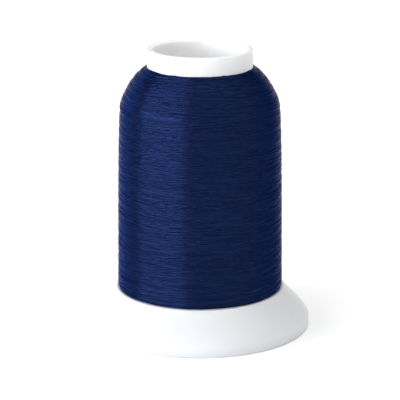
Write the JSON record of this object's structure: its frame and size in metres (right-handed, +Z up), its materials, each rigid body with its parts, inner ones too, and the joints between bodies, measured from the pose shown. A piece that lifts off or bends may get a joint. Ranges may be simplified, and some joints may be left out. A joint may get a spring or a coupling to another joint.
{
  "type": "spool of thread",
  "caption": "Upright spool of cross-wound navy sewing thread on an open white barrel, with a wide skirt-shaped snap base that slides down to free the thread's end.",
  "frame": {"origin": "centre of the base's rim, on the surface that the spool stands on", "axes": "+Z up along the spool's axis, from the base to the open collar; -Y is the front; the thread's end leaves the package at the back, +Y"},
  "size_m": [0.0644, 0.0644, 0.0823],
  "materials": {
    "white_plastic": "satin moulded polypropylene, slightly translucent",
    "navy_thread": "matte texturised sewing thread, cross-wound",
    "paper": "coated paper sticker, blank but for a plain border"
  },
  "bodies": {
    "base": {"snap_base": "white_plastic", "base_label": "paper"},
    "spool": {"barrel": "white_plastic", "thread_package": "navy_thread", "thread_tail": "navy_thread"}
  },
  "joints": [
    {"name": "base_snap", "type": "slide", "parent": "base", "child": "spool", "axis": [0, 0, 1], "range_m": [0, 0.0025]}
  ]
}
